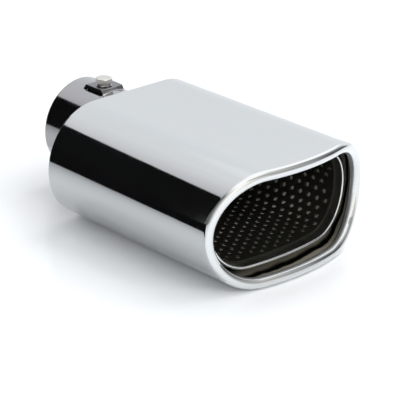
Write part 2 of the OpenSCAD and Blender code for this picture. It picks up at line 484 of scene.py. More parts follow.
def core_finish(marks, dark, bare_steel):
    """The core's dark coat, worn to bare steel where the punch broke through."""
    material, n, shader, coat = metal("Dark perforated steel", marks, dark,
                                      0.30, 0.12, (300, 300, 300), 0.4)
    bare = n.span(n.marked("punched"), 0.2, 0.9)
    n.feed(shader["Base Color"], n.blend(bare, coat["Colour"], (*bare_steel, 1)))
    n.feed(shader["Metallic"], n.span(bare, 0.0, 1.0, 0.7, 1.0))
    return material


def packing_finish(wool):
    """Matt grey wool, darkened towards the mouth by painted shade."""
    material, n, shader = finish_material("Packing wool", wool)
    shader.inputs["Roughness"].default_value = 0.9
    shader.inputs["Specular IOR Level"].default_value = 0.2
    place = n.place()
    strands = n.noise(place, 2600.0, 2.0, Distortion=1.5)
    in_shade, in_painted_shade = ((*(share * c for c in wool), 1) for share in (0.75, 0.22))
    tufts = n.blend(n.span(strands, 0.3, 0.7), in_shade, (*wool, 1))
    # Painted shade: the wool darkens from 42 mm to 6 mm behind the core's front, towards the mouth
    painted_shade_to_mouth = n.span(n.parts(place)["X"], CORE_HIGH.x - 42 * MM, CORE_HIGH.x - 6 * MM)
    n.feed(shader.inputs["Base Color"], n.blend(painted_shade_to_mouth, tufts, in_painted_shade))
    relief = n.add("ShaderNodeBump", {"Strength": 0.5, "Distance": 0.0001, "Height": strands})
    n.feed(shader.inputs["Normal"], relief.outputs[0])
    return material


def seam_finish(marks, colour):
    """Weld metal with patches of straw and blue heat tint."""
    material, n, shader, steel = metal("Weld seam", marks, colour, 0.24, 0.08, (700, 700, 700), 0.4)
    heat = n.noise(n.place(), 60.0, 2.0)
    straw = n.blend(n.span(heat, 0.45, 0.62), steel["Colour"], STRAW)
    n.feed(shader["Base Color"], n.blend(n.span(heat, 0.62, 0.75), straw, BLUE))
    return material


def make_finishes(colours):
    """Builds each finish once and returns them by name."""
    marks = polish_group()
    finishes = {}
    for name, label, *values in PLAIN_METALS:
        finishes[name] = metal(label, marks, tuple(getattr(colours, name)), *values)[0]
    finishes["sleeve"] = sleeve_finish(marks, tuple(colours.steel))
    finishes["recess"] = recess_finish(marks, tuple(colours.recess))
    finishes["core"] = core_finish(marks, tuple(colours.dark), tuple(colours.satin))
    finishes["packing"] = packing_finish(tuple(colours.packing))
    finishes["seam"] = seam_finish(marks, tuple(colours.satin))
    return finishes


FINISHES = {}


def finish(name):
    if not FINISHES:
        FINISHES.update(make_finishes(bpy.context.scene.exhaust_tip_finishes))
    return FINISHES[name]


# ---------------------------------------------------------------- sleeves and rear cap

QUARTER = (0, pi / 6, pi / 3, pi / 2)


def mark_depth(piece, bow):
    """Marks how far each point lies behind the inner sleeve's front, stretched at the sides."""
    def depth(place):
        side = (place.y - CENTRE_Y) / SLEEVE_HIGH.y
        return (LINER_HIGH.x - bow_drop(bow, place.y) - place.x) / (1 - 0.6 * side ** 2)

    mark(piece, "behind", depth)


def build_outer_sleeve(sizes, liner):
    """The oval sleeve, its mouth bowed and rolled inward into a bead."""
    roll, wall, edge = sizes.rim_radius, sizes.wall, sizes.rear_edge
    rear_x, mouth_x, side_r = SLEEVE_LOW.x, SLEEVE_HIGH.x, SLEEVE_HIGH.z
    inside_r, straight = side_r - wall, 1.2 * MM
    full_turn, roll_steps = 2 * pi - acos(1 - wall / roll), 40
    turns = [full_turn * i / roll_steps for i in range(roll_steps + 1)]
    rings = []
    for station in stations(sizes.side_steps, sizes.flat_steps):
        out = Vector((0, cos(station[1]), sin(station[1])))
        c = at_station(station, 0, side_r - roll)
        reach = c.y - CENTRE_Y
        c.x = mouth_x - bow_drop(sizes.mouth_bow, c.y) - roll
        slope = -reach / sqrt(sizes.mouth_bow ** 2 - reach ** 2)
        along = Vector((-slope * sin(station[1]), -sin(station[1]), cos(station[1])))
        forward = out.cross(along).normalized()
        bend_x = c.x - straight
        ring = [at_station(station, rear_x + edge * (1 - cos(t)), side_r - edge * (1 - sin(t)))
                for t in QUARTER]
        ring += [at_station(station, rear_x + 3 * edge, side_r)]
        ring += [at_station(station, rear_x + (bend_x - rear_x) * k, side_r)
                 for k in (0.25, 0.5, 0.75, 0.93)]
        ring += [at_station(station, bend_x, side_r)]
        ring += [c + roll * (cos(t) * out + sin(t) * forward) for t in turns]
        meet_x = ring[-1].x
        ring += [at_station(station, x, inside_r) for x in (meet_x - straight, rear_x + 3 * edge)]
        ring += [at_station(station, rear_x + edge * (1 - sin(t)), inside_r + edge * (1 - cos(t)))
                 for t in QUARTER]
        rings.append(ring)
    piece = swept_piece("sleeve_outer", rings, finish("sleeve"))
    piece.data.materials.append(finish("recess"))
    for face in piece.data.polygons:
        behind_roll = mouth_x - bow_drop(sizes.mouth_bow, face.center.y) - 2 * roll
        if oval_reach(face.center) < inside_r + 0.1 * MM and face.center.x < behind_roll:
            face.material_index = 1
    mark_depth(piece, liner.bow)
    mark(piece, "curl", lambda place: limited(
        ((side_r - roll - oval_reach(place)) / roll - 0.80) / 0.15))
    settle(piece, "polished_steel", "outer_sleeve")


def build_inner_sleeve(sizes, steps):
    """The recessed inner sleeve with its lip folded back on itself."""
    outer_r, front, rear = LINER_HIGH.z, LINER_HIGH.x, LINER_LOW.x
    fold, lip_r = sizes.lip_thickness / 2, outer_r - sizes.lip_thickness
    back, seat_r = front - sizes.lip_length, outer_r - sizes.wall
    soft, short = 0.3 * MM, 0.5 * MM
    profile = [(rear, outer_r, 0), (front - 20 * MM, outer_r, 1),
               (front - fold - short, outer_r, 1)]
    profile += [(x, r, 1) for x, r in arc(front - fold, outer_r - fold, fold, 0, 180, 14)]
    profile += [(front - fold - short, lip_r, 1), (back + 2 * soft, lip_r, 1)]
    profile += [(x, r, 1) for x, r in arc(back + soft, lip_r + soft, soft, 180, 270, 4)]
    profile += [(back, seat_r - soft, 1), (back, seat_r, 1), (back - short, seat_r, 1),
                (rear, seat_r, 0)]
    rings = []
    for station in stations(steps.side_steps, steps.flat_steps):
        ring = []
        for x, r, bowed in profile:
            p = at_station(station, x, r)
            p.x -= bowed * bow_drop(sizes.bow, p.y)
            ring.append(p)
        rings.append(ring)
    piece = swept_piece("sleeve_inner", rings, finish("sleeve"))
    for name in ("satin", "recess", "hem"):
        piece.data.materials.append(finish(name))
    for face in piece.data.polygons:
        reach = oval_reach(face.center)
        edge = front - bow_drop(sizes.bow, face.center.y)
        if reach > outer_r - 0.1 * MM and face.center.x < edge - fold - 0.2 * MM:
            face.material_index = 2
        elif face.center.x < edge - sizes.lip_length:
            face.material_index = 1
        elif reach < lip_r + 0.05 * MM and face.center.x < edge - fold:
            face.material_index = 3
    mark_depth(piece, sizes.bow)
    settle(piece, "polished_steel", "inner_sleeve")


def build_rear_cap(steps, wall=1.5 * MM, bend=2.6 * MM, lead=0.6 * MM):
    """The pressed rear cap: a plate with a bent flange and a round hole for the neck."""
    rear, front, radius = CAP_LOW.x, CAP_HIGH.x, CAP_HIGH.z
    outside = [(front, radius), (rear + bend + lead, radius)]
    outside += arc(rear + bend, radius - bend, bend, 0, -90, 10)
    outside += [(rear, radius - bend - lead)]
    inside = [(rear + wall, radius - bend - lead)]
    inside += arc(rear + bend, radius - bend, bend - wall, -90, 0, 8)
    inside += [(rear + bend + lead, radius - wall), (front, radius - wall)]
    rings = []
    for station in stations(steps.side_steps, steps.flat_steps):
        rim = at_station(station, 0, radius - bend)
        turn = atan2(rim.z, rim.y)
        ring = [at_station(station, x, r) for x, r in outside]
        ring += [Vector((x, NECK_RADIUS * cos(turn), NECK_RADIUS * sin(turn)))
                 for x in (rear, rear + wall)]
        ring += [at_station(station, x, r) for x, r in inside]
        rings.append(ring)
    piece = swept_piece("cap_rear", rings, finish("neck"))
    settle(piece, "polished_steel", "rear_cap")


# ---------------------------------------------------------------- perforated core

def cell_object(name, rings, count, caps=()):
    """A small mesh of rings of equal size, each (places, height, bareness), for instancing."""
    points = [(x, y, h) for ring, h, _ in rings for x, y in ring]
    mesh = bpy.data.meshes.new(name)
    faces = sweep_faces(len(rings), count, closed=False) + list(caps)
    mesh.from_pydata(points, [], faces)
    mask = mesh.attributes.new("punched", "FLOAT", "POINT")
    mask.data.foreach_set("value", [bare for ring, _, bare in rings for _ in ring])
    return placed(name, mesh)


def joined_mesh(name, *parts):
    """One mesh made of several, with their attributes."""
    bm = bmesh.new()
    for part in parts:
        bm.from_mesh(part)
    mesh = bpy.data.meshes.new(name)
    bm.to_mesh(mesh)
    bm.free()
    return mesh


def core_cells(sizes, row):
    """Flat cells of the perforated sheet: with a punched hole, plain, and a hole's packing."""
    half_x, half_s, r, depth = sizes.pitch / 2, row / 2, sizes.hole_radius, sizes.wall
    outline = [(k * half_x, -half_s) for k in (-1, -0.5, 0, 0.5)] + [(half_x, -half_s), (half_x, 0)]
    outline += [(k * half_x, half_s) for k in (1, 0.5, 0, -0.5)] + [(-half_x, half_s), (-half_x, 0)]
    count = len(outline)
    turns = [atan2(y, x) for x, y in outline]
    first, last = tuple(range(count)), tuple(range(3 * count, 4 * count))

    def round_ring(radius):
        return [(radius * cos(t), radius * sin(t)) for t in turns]

    hole = cell_object("Hole cell", [
        (outline, -depth, 0.0), (round_ring(1.4 * r), -depth, 0.0),
        (round_ring(1.12 * r), -depth - sizes.lip_height, 0.1),
        (round_ring(r), -depth + 0.1 * MM, 0.2),
        (round_ring(r), 0.0, 0.0), (outline, 0.0, 0.0)], count)
    middle = [(0.5 * x, 0.5 * y) for x, y in outline]
    plain, back = (
        cell_object(name, [(middle, height, 0.0), (outline, height, 0.0)], count, [first])
        for name, height in (("Plain cell", -depth), ("Plain back", 0.0)))
    plain.data = joined_mesh("Plain cell", plain.data, back.data)
    bpy.data.objects.remove(back)
    snug, face = r - 0.05 * MM, sizes.packing_depth - depth
    plug = cell_object("Packing tuft", [
        (round_ring(snug), 1.1 * MM, 0.0), (round_ring(snug), face + 0.15 * MM, 0.0),
        (round_ring(0.75 * snug), face, 0.0), (round_ring(0.3 * snug), face - 0.05 * MM, 0.0)],
        count, [first, last])
    return hole, plain, plug


def geometry_tree(name, inputs):
    """A geometry tree with named inputs and one result: the tree, its nodes and the inputs."""
    tree = bpy.data.node_groups.new(name, "GeometryNodeTree")
    for label, kind in inputs:
        tree.interface.new_socket(label, in_out="INPUT", socket_type="NodeSocket" + kind)
    tree.interface.new_socket("Geometry", in_out="OUTPUT", socket_type="NodeSocketGeometry")
    n = Nodes(tree)
    return tree, n, n.add("NodeGroupInput").outputs


def perforation_tree():
    """Geometry nodes: lays cells out in staggered rows and bends them round the oval."""
    tree, n, ins = geometry_tree("Perforated core", (
        ("Cell", "Object"), ("Plain", "Object"), ("Rows", "Int"), ("Columns", "Int"),
        ("Pitch", "Float"), ("Front", "Float"), ("Bow", "Float"), ("Margin", "Float"),
        ("Radius", "Float"), ("Flat Half", "Float"), ("Centre", "Float"), ("Finish", "Material")))
    side = n.math("MULTIPLY", ins["Radius"], pi)
    flat = n.math("MULTIPLY", ins["Flat Half"], 2.0)
    whole = n.math("MULTIPLY", n.math("ADD", side, flat), 2.0)
    step = n.math("DIVIDE", whole, ins["Rows"])
    after_side = n.math("ADD", flat, side)
    after_top = n.math("ADD", after_side, flat)

    def around(distance, reach):
        """Place across and up at a distance round the oval from the middle underneath."""
        started = n.math("ADD", n.math("ADD", distance, ins["Flat Half"]), whole)
        at = n.math("MODULO", started, whole)
        under = n.span(at, 0.0, flat, n.math("MULTIPLY", ins["Flat Half"], -1.0), ins["Flat Half"])
        over = n.span(at, after_side, after_top, 0.0, n.math("MULTIPLY", flat, -1.0))
        angle = n.math("ADD", n.span(at, flat, after_side, -pi / 2, pi / 2),
                       n.span(at, after_top, whole, 0.0, pi))
        across = n.math("ADD", n.math("ADD", under, over),
                        n.math("MULTIPLY", reach, n.math("COSINE", angle)))
        return across, n.math("MULTIPLY", reach, n.math("SINE", angle))

    def position():
        return n.parts(n.add("GeometryNodeInputPosition").outputs[0])

    count = n.math("MULTIPLY", ins["Rows"], ins["Columns"])
    points = n.add("GeometryNodePoints", {"Count": count}).outputs[0]
    index = n.add("GeometryNodeInputIndex").outputs[0]
    row = n.math("FLOOR", n.math("DIVIDE", n.math("ADD", index, 0.5), ins["Columns"]))
    column = n.math("SUBTRACT", index, n.math("MULTIPLY", row, ins["Columns"]))
    odd = n.math("MODULO", n.math("ADD", row, 1.0), 2.0)
    shift = n.math("SUBTRACT", column, n.math("MULTIPLY", odd, 0.5))
    x = n.math("SUBTRACT", ins["Front"], n.math("MULTIPLY", shift, ins["Pitch"]))
    laid = n.add("GeometryNodeSetPosition", {
        "Geometry": points, "Position": n.joined(x, n.math("MULTIPLY", row, step))}).outputs[0]

    spot = position()
    across = around(spot[1], ins["Radius"])[0]
    under_root = n.math("SUBTRACT", n.math("POWER", ins["Bow"], 2.0), n.math("POWER", across, 2.0))
    drop = n.math("SUBTRACT", ins["Bow"], n.math("SQRT", under_root))
    limit = n.math("SUBTRACT", n.math("SUBTRACT", ins["Front"], drop), ins["Margin"])
    field = n.math("MULTIPLY", n.math("SUBTRACT", ins["Columns"], 1.75), ins["Pitch"])
    deepest = n.math("SUBTRACT", ins["Front"], field)
    pierced = n.math("MULTIPLY", n.math("LESS_THAN", spot[0], limit),
                     n.math("GREATER_THAN", spot[0], deepest))
    parts = []
    for label, chosen in (("Cell", pierced), ("Plain", n.math("SUBTRACT", 1.0, pierced))):
        shape = n.add("GeometryNodeObjectInfo", {"Object": ins[label]}).outputs["Geometry"]
        parts.append(n.add("GeometryNodeInstanceOnPoints", {
            "Points": laid, "Selection": chosen, "Instance": shape}).outputs[0])
    copies = n.add("GeometryNodeJoinGeometry")
    for part in parts:
        tree.links.new(part, copies.inputs[0])
    real = n.add("GeometryNodeRealizeInstances", {"Geometry": copies.outputs[0]}).outputs[0]

    at = position()
    y, z = around(at[1], n.math("ADD", ins["Radius"], at[2]))
    bent = n.joined(at[0], n.math("ADD", y, ins["Centre"]), z)
    oval = n.add("GeometryNodeSetPosition", {"Geometry": real, "Position": bent}).outputs[0]
    welded = n.add("GeometryNodeMergeByDistance", {"Geometry": oval, "Distance": 0.00002})
    done = n.add("GeometryNodeSetMaterial", {
        "Geometry": welded.outputs[0], "Material": ins["Finish"]})
    n.add("NodeGroupOutput", {0: done.outputs[0]})
    return tree


def baked(name, tree, values):
    """Runs a geometry tree with named values and returns its result as a plain mesh object."""
    piece = placed(name, bpy.data.meshes.new(name))
    modifier = piece.modifiers.new("Tree", "NODES")
    modifier.node_group = tree
    keys = {s.name: s.identifier for s in tree.interface.items_tree if s.in_out == "INPUT"}
    for label, value in values.items():
        modifier[keys[label]] = value
    apply_modifiers(piece)
    piece.data.name = name
    piece.data.materials.clear()
    piece.data.materials.append(values["Finish"])
    return piece


def edges_in(geometry):
    return [e for e in geometry if isinstance(e, bmesh.types.BMEdge)]


def trimmed(bm, place, side):
    """Cuts a mesh across X, drops what lies beyond on that side and returns the cut's edges."""
    everything = bm.verts[:] + bm.edges[:] + bm.faces[:]
    return edges_in(bmesh.ops.bisect_plane(
        bm, geom=everything, plane_co=(place, 0, 0), plane_no=(side, 0, 0),
        clear_outer=True, dist=1e-7)["geom_cut"])


def build_perforated_core(sizes, liner):
    """The dark perforated core, cut to the same bow as the lip, and the packing in its holes."""
    radius, front, rear = CORE_HIGH.z, CORE_HIGH.x, CORE_LOW.x
    around = 4 * FLAT_HALF + 2 * pi * radius
    rows = 2 * round(around / sizes.row_pitch / 2)
    hole, plain, plug = core_cells(sizes, around / rows)
    nothing = cell_object("Nothing", [], 0)
    tree = perforation_tree()
    values = {"Rows": rows, "Columns": sizes.columns + 2, "Pitch": sizes.pitch, "Front": front,
              "Bow": liner.bow, "Margin": sizes.margin, "Radius": radius,
              "Flat Half": FLAT_HALF, "Centre": CENTRE_Y}
    piece = baked("core_perforated", tree, {
        "Cell": hole, "Plain": plain, "Finish": finish("core"), **values})
    packing = baked("core_packing", tree, {
        "Cell": plug, "Plain": nothing, "Finish": finish("packing"), **values})
    for cell in (hole, plain, plug, nothing):
        bpy.data.objects.remove(cell)

    with edited(piece.data) as bm:
        bmesh.ops.remove_doubles(bm, verts=bm.verts, dist=0.00003)
        tail = trimmed(bm, front - sizes.pitch * (sizes.columns + 0.75), -1)
        for v in bm.verts:
            v.co.x += bow_drop(liner.bow, v.co.y)
        mouth = trimmed(bm, front, 1)
        bmesh.ops.triangle_fill(bm, edges=mouth, use_beauty=True, use_dissolve=False)
        for v in bm.verts:
            v.co.x -= bow_drop(liner.bow, v.co.y)
        skirt = bmesh.ops.extrude_edge_only(bm, edges=tail)["geom"]
        for v in skirt:
            if isinstance(v, bmesh.types.BMVert):
                v.co.x = rear
        rim = [e for e in edges_in(skirt) if all(v.co.x == rear for v in e.verts)]
        bmesh.ops.triangle_fill(bm, edges=rim, use_beauty=True)
        bmesh.ops.recalc_face_normals(bm, faces=bm.faces)
    with edited(packing.data) as bm:
        bmesh.ops.recalc_face_normals(bm, faces=bm.faces)
    smooth(piece.data, 50)
    smooth(packing.data, 60)
    settle(piece, "dark_steel", "perforated_core")
    settle(packing, "dark_steel")


# ---------------------------------------------------------------- neck, screw and nut plate

def ease(t):
    t = limited(t)
    return t * t * (3 - 2 * t)


def build_inlet_neck(sizes):
    """The slip-on neck: a tube whose crown is slit and pressed up into a bridge."""
    r, length, ramp, middle = NECK_RADIUS, NECK_HIGH.x, sizes.ramp, sizes.bridge_x
    x0, x1 = middle - sizes.bridge_length / 2, middle + sizes.bridge_length / 2
    half, cut = sizes.bridge_width / 2, sizes.bridge_width / 2 + sizes.slit
    slit_from, slit_to, slit_columns = x0 + 0.69 * ramp, x1 - 0.29 * ramp, (0, 25)
    top, near, around = r + sizes.bridge_rise, 0.35 * MM, 132
    turns = [asin(-cut / r)] + [asin(half * k / 12 / r) for k in range(-12, 13)] + [asin(cut / r)]
    turns += [turns[-1] + (2 * pi - turns[-1] + turns[0]) * k / around for k in range(1, around)]
    xs = [0, near, x0 * 0.5, x0 - near, x0] + [x0 + ramp * k / 10 for k in range(1, 11)]
    xs += [x0 + ramp + 0.5 * MM]
    xs += [middle] + [2 * middle - x for x in reversed(xs[4:])]
    xs += [x1 + near, (x1 + length) / 2, length - near, length]
    points, faces = [], []
    for x in xs:
        for t in turns:
            y, z = r * sin(t), r * cos(t)
            if x0 < x < x1 and abs(y) <= half + 1e-6 and z > 0:
                z += ease(min(x - x0, x1 - x) / ramp) * (top - z)
            points.append((x, y, z))
    m = len(turns)
    for i in range(len(xs) - 1):
        for j in range(m):
            if not (j in slit_columns and slit_from <= xs[i] and xs[i + 1] <= slit_to):
                a, b = i * m + j, i * m + (j + 1) % m
                faces.append((a, b, b + m, a + m))
    piece = mesh_piece("neck_inlet", points, faces, finish("neck"), 40)
    with edited(piece.data) as bm:
        middles = ((f.normal, f.calc_center_median()) for f in bm.faces)
        if sum(normal.dot(Vector((0, c.y, c.z))) for normal, c in middles) < 0:
            bmesh.ops.reverse_faces(bm, faces=bm.faces)
    wall = piece.modifiers.new("Wall", "SOLIDIFY")
    wall.thickness, wall.offset, wall.use_even_offset = sizes.wall, -1, True
    add_bevel(piece, 0.2 * MM, 45)
    apply_modifiers(piece)
    for name in ("press", "satin", "cut"):
        piece.data.materials.append(finish(name))
    for face in piece.data.polygons:
        c, normal = face.center, face.normal
        outward = normal.dot(Vector((0, c.y, c.z)).normalized())
        by_bridge = x0 - 0.2 * MM < c.x < x1 + 0.2 * MM and abs(c.y) < cut + 0.1 * MM and c.z > 0
        at_slit = abs(normal.y) > 0.6 or abs(c.y) > half - 0.05 * MM
        on_top = abs(c.y) < half + 0.1 * MM and c.z > r - 0.5 * MM
        # The slit's sides take the near-black cut finish, painted shade of the gap beside the
        # bridge
        if by_bridge and at_slit and outward < 0.96 and normal.z < 0.75:
            face.material_index = 3
        elif outward < -0.3:
            face.material_index = 2
        # The bridge's top takes the darkened press finish, a painted dark reflection
        elif by_bridge and on_top and min(c.x - x0, x1 - c.x) > 0.08 * ramp:
            face.material_index = 1
    settle(piece, "polished_steel", "inlet_neck")
    build_collar(sizes, top)


def build_collar(sizes, top):
    """The low collar pressed up from the bridge round the screw's hole."""
    outer, hole = sizes.collar_radius, sizes.tapped_radius
    under, high = top - sizes.wall, NECK_HIGH.z
    soft, foot, inset = 0.35 * MM, 0.6 * MM, 0.2 * MM
    profile = [(hole, under), (outer - inset, under), (outer - inset, top - 0.3 * MM),
               (outer + foot, top - 0.02 * MM)]
    profile += [(outer + foot - foot * sin(t), top + foot - foot * cos(t))
                for t in (pi / 8, pi / 4, 3 * pi / 8, pi / 2)]
    profile += [(outer - soft + soft * cos(t), high - soft + soft * sin(t)) for t in QUARTER]
    profile += [(hole + soft - soft * sin(t), high - soft + soft * cos(t)) for t in QUARTER]
    points, faces = lathe(profile, 72, Vector((sizes.bridge_x, 0, 0)))
    settle(mesh_piece("neck_collar", points, faces, finish("neck")), "polished_steel")


def screw_head(centre, flat_r, top, under, steps=72):
    """A hexagon head with a rounded crown and a washer face, its corners on the Y axis."""
    crown, points = 0.93 * flat_r, []
    for i in range(steps):
        t = 2 * pi * i / steps
        full = flat_r / cos((t + pi / 6) % (pi / 3) - pi / 6)
        drop = (full - crown) * tan(radians(28))
        ring = [(0.0, top - 0.02 * MM), (0.5 * flat_r, top - 0.03 * MM),
                (crown - 0.25 * MM, top - 0.06 * MM), (crown, top - 0.1 * MM),
                (full, top - 0.1 * MM - drop), (full, under + 0.45 * MM),
                (full - 0.12 * MM, under + 0.3 * MM), (0.95 * flat_r, under + 0.28 * MM),
                (0.94 * flat_r, under), (0.0, under)]
        points += [centre + Vector((r * cos(t), r * sin(t), z)) for r, z in ring]
    return points, sweep_faces(steps, len(ring))


def screw_shank(centre, sizes, low, high, steps=40):
    """A threaded shank with a pointed end."""
    outer, pitch = sizes.thread / 2, sizes.pitch
    inner = outer - 0.55 * pitch
    levels = ceil((high - low) / (pitch / 8))
    points = []
    for i in range(steps):
        t = 2 * pi * i / steps
        points.append(centre + Vector((0, 0, low)))
        for k in range(levels + 1):
            z = low + (high - low) * k / levels
            phase = ((z - low) / pitch - t / (2 * pi)) % 1.0
            r = inner + (outer - inner) * limited(2.4 * abs(phase - 0.5) - 0.1)
            if z < low + 1.0 * MM:
                r = min(r, inner - 0.35 * MM + (z - low) * 1.1)
            points.append(centre + Vector((r * cos(t), r * sin(t), z)))
        points.append(centre + Vector((0, 0, high)))
    return points, sweep_faces(steps, levels + 3)


def build_clamp_screw(sizes, neck):
    """The hexagon-head screw with its rolled thread, backed off in the collar."""
    centre, under = Vector((neck.bridge_x, 0, 0)), SCREW_HIGH.z - sizes.head_height
    head = screw_head(centre, (SCREW_HIGH.x - SCREW_LOW.x) / 2, SCREW_HIGH.z, under)
    shank = screw_shank(centre, sizes, SCREW_LOW.z, under + 0.05 * MM)
    piece = mesh_piece("screw_clamp", *join_shells([head, shank]), finish("screw"), 24)
    add_bevel(piece, 0.12 * MM, 50)
    settle(piece, "screw_steel", "clamp_screw")


def build_nut_plate(neck):
    """The nut plate welded under the bridge, flat on top and hollowed underneath like the bore."""
    low, high, steps, soft = PLATE_LOW, PLATE_HIGH, 96, 0.12 * MM
    middle, top, hole = (low.x + high.x) / 2, high.z, neck.tapped_radius
    half_x, half_y = (high.x - low.x) / 2 + 0.4 * MM, (high.y - low.y) / 2
    hollow = sqrt(half_y ** 2 + low.z ** 2)
    points = []
    for k in range(steps):
        c, s = cos(2 * pi * k / steps), sin(2 * pi * k / steps)
        edge = ((abs(c) / half_x) ** 10 + (abs(s) / half_y) ** 10) ** -0.1
        ring = [(r, sqrt(hollow ** 2 - (r * s) ** 2) + lift) for r, lift in (
            (hole, soft), (hole + soft, 0.0), (0.5 * (hole + edge), 0.0), (edge - soft, 0.0),
            (edge, soft))]
        ring += [(edge, top - soft), (edge - 0.3 * soft, top - 0.3 * soft), (edge - soft, top),
                 (hole + soft, top), (hole, top - soft)]
        points += [Vector((middle + r * c, r * s, z)) for r, z in ring]
    # Its near-black cut finish is painted shade for the gap under the bridge and the bore behind it
    piece = mesh_piece("plate_nut", points, sweep_faces(steps, len(ring)), finish("cut"))
    settle(piece, "dark_steel", "nut_plate")


# ---------------------------------------------------------------- weld seams

def seam_tree():
    """Geometry nodes: a weld seam of overlapping ripples along a curve."""
    tree, n, ins = geometry_tree("Weld seam", (
        ("Path", "Object"), ("Ripple", "Float"), ("Width", "Float"), ("Height", "Float"),
        ("Seed", "Int"), ("Finish", "Material")))
    path = n.add("GeometryNodeObjectInfo", {"Object": ins["Path"]}).outputs["Geometry"]
    marks = n.add("GeometryNodeCurveToPoints", {"Curve": path, "Length": ins["Ripple"]},
                  mode="LENGTH").outputs
    bead = n.add("GeometryNodeMeshUVSphere", {"Segments": 10, "Rings": 6, "Radius": 0.5}).outputs[0]
    uneven = n.add("FunctionNodeRandomValue", {"Seed": ins["Seed"]}, data_type="FLOAT")
    least, most = [s for s in uneven.inputs if s.type == "VALUE"][:2]
    least.default_value, most.default_value = 0.9, 1.08
    spread = next(s for s in uneven.outputs if s.type == "VALUE")
    wide, high, long = (n.math("MULTIPLY", ins[label], times) for label, times in (
        ("Width", spread), ("Height", 2.0), ("Ripple", 2.6)))
    size = n.joined(wide, high, long)
    copies = n.add("GeometryNodeInstanceOnPoints", {
        "Points": marks["Points"], "Instance": bead,
        "Rotation": marks["Rotation"], "Scale": size}).outputs[0]
    real = n.add("GeometryNodeRealizeInstances", {"Geometry": copies}).outputs[0]
    smoothed = n.add("GeometryNodeSetShadeSmooth", {"Geometry": real}).outputs[0]
    done = n.add("GeometryNodeSetMaterial", {"Geometry": smoothed, "Material": ins["Finish"]})
    n.add("NodeGroupOutput", {0: done.outputs[0]})
    return tree


def closed_path(name, places):
    """A closed poly curve through the places, for a seam to follow."""
    curve = bpy.data.curves.new(name, "CURVE")
    curve.dimensions = "3D"
    spline = curve.splines.new("POLY")
    spline.points.add(len(places) - 1)
    for point, place in zip(spline.points, places):
        point.co = (*place, 1)
    spline.use_cyclic_u = True
    return placed(name, curve)


def build_weld_seams(sizes, steps):
    """The seams that join the cap to the sleeve and the neck to the cap."""
    tree = seam_tree()
    rim_x, rim_r = CAP_LOW.x + 0.9 * MM, CAP_HIGH.z - 0.9 * MM
    ring_x, ring_r = CAP_LOW.x - 0.1 * MM, NECK_RADIUS + 0.3 * MM
    rim = [at_station(s, rim_x, rim_r) for s in stations(steps.side_steps, steps.flat_steps)]
    ring = [Vector((ring_x, ring_r * cos(t), ring_r * sin(t)))
            for t in (2 * pi * k / 180 for k in range(180))]
    for name, places, seed in (("seam_cap", rim, 3), ("seam_neck", ring, 8)):
        path = closed_path(name + "_path", places)
        piece = baked(name, tree, {
            "Path": path, "Ripple": sizes.ripple, "Width": sizes.width, "Height": sizes.height,
            "Seed": seed, "Finish": finish("seam")})
        bpy.data.objects.remove(path)
        settle(piece, "polished_steel")


# ---------------------------------------------------------------- stage

CAMERA_PLACE = Vector((0.83697, -0.72865, 0.42551))
CAMERA_AZIMUTH, CAMERA_ELEVATION, CAMERA_ROLL = 44.7707, 23.4386, 1.8861
CAMERA_LENS = 160.573
# Name, place, size in metres, watts and the X that it is aimed at
LAMPS = (("lamp_over", (0.25, 0.9, 1.3), 1.1, 9.6, 0.1),
         ("lamp_front", (1.3, 0.1, 0.7), 0.7, 5.4, 0.15),
         ("lamp_mouth", (0.98, -0.46, 0.63), 0.3, 5.0, 0.16))
MOUTH_LAMP, LIT_INSIDE = "lamp_mouth", ("core_perforated", "core_packing")

TABLE_HALF = 4.0
CARD_REACH = 3.0
DARK = (0.0045, 0.0045, 0.0048)
EVEN_LIGHT = (0.965, 0.99, 1.0, 1)
# The line on the floor beyond which reflections of it are black
SHADE_LINE = (-0.60, -0.36), (0.19, -0.187)
# How dark the floor's reflection is, from the line inwards
SHADE_STOPS = ((0.0, 0.54), (0.12, 0.44), (0.32, 0.34), (0.65, 0.26), (0.92, 0.17), (1.0, 0.12))
# Tones of the surround that the steel mirrors: azimuth in degrees, and the colour near the horizon
SURROUND_LOW = (
    (-180, (0.90, 0.91, 0.92)), (-165, (0.84, 0.84, 0.85)), (-150, (0.69, 0.69, 0.70)),
    (-128, (0.15, 0.15, 0.15)), (-110, (0.18, 0.18, 0.18)), (-90, (0.35, 0.35, 0.35)),
    (-70, (0.68, 0.67, 0.65)), (-50, (1.18, 1.15, 1.09)), (-30, (1.40, 1.37, 1.30)),
    (-12, (1.26, 1.22, 1.14)), (2, (0.96, 0.93, 0.86)), (14, (0.80, 0.78, 0.72)),
    (36, (0.66, 0.66, 0.62)), (54, (0.46, 0.46, 0.44)), (66, (0.32, 0.32, 0.31)),
    (78, (0.42, 0.42, 0.41)), (90, (0.93, 0.94, 0.94)), (104, (1.06, 1.07, 1.08)),
    (124, (0.94, 0.96, 0.98)), (150, (0.91, 0.93, 0.95)), (180, (0.90, 0.91, 0.92)))
# Elevation in degrees where the bright upper part begins, by azimuth
SURROUND_EDGE = ((-180, 50), (-165, 52), (-130, 46), (70, 44), (86, 26), (118, 24), (130, 34),
                 (150, 40), (168, 50), (180, 50))
SURROUND_HIGH = (1.36, 1.36, 1.33, 1)
# The soft stripe behind the tip: azimuth, low and high elevation, and its tone by azimuth
CARD_BACK = ((82, 3, 4), (76, 0, 12), (66, 0, 24), (54, 0, 27), (42, 5, 27), (33, 9, 28),
             (24, 15, 31), (12, 26, 41), (0, 36, 52), (-10, 42, 57), (-20, 50, 53))
CARD_TONES = ((-20, 0.62), (0, 0.55), (24, 0.42), (46, 0.42), (57, 0.12), (82, 0.12))
# The black wall to the left: azimuth, low and high elevation
CARD_LEFT = [(azimuth, -1.0, 40.0) for azimuth in range(-180, -125, 3)]


def clear_surface(n):
    return n.add("ShaderNodeBsdfTransparent").outputs[0]


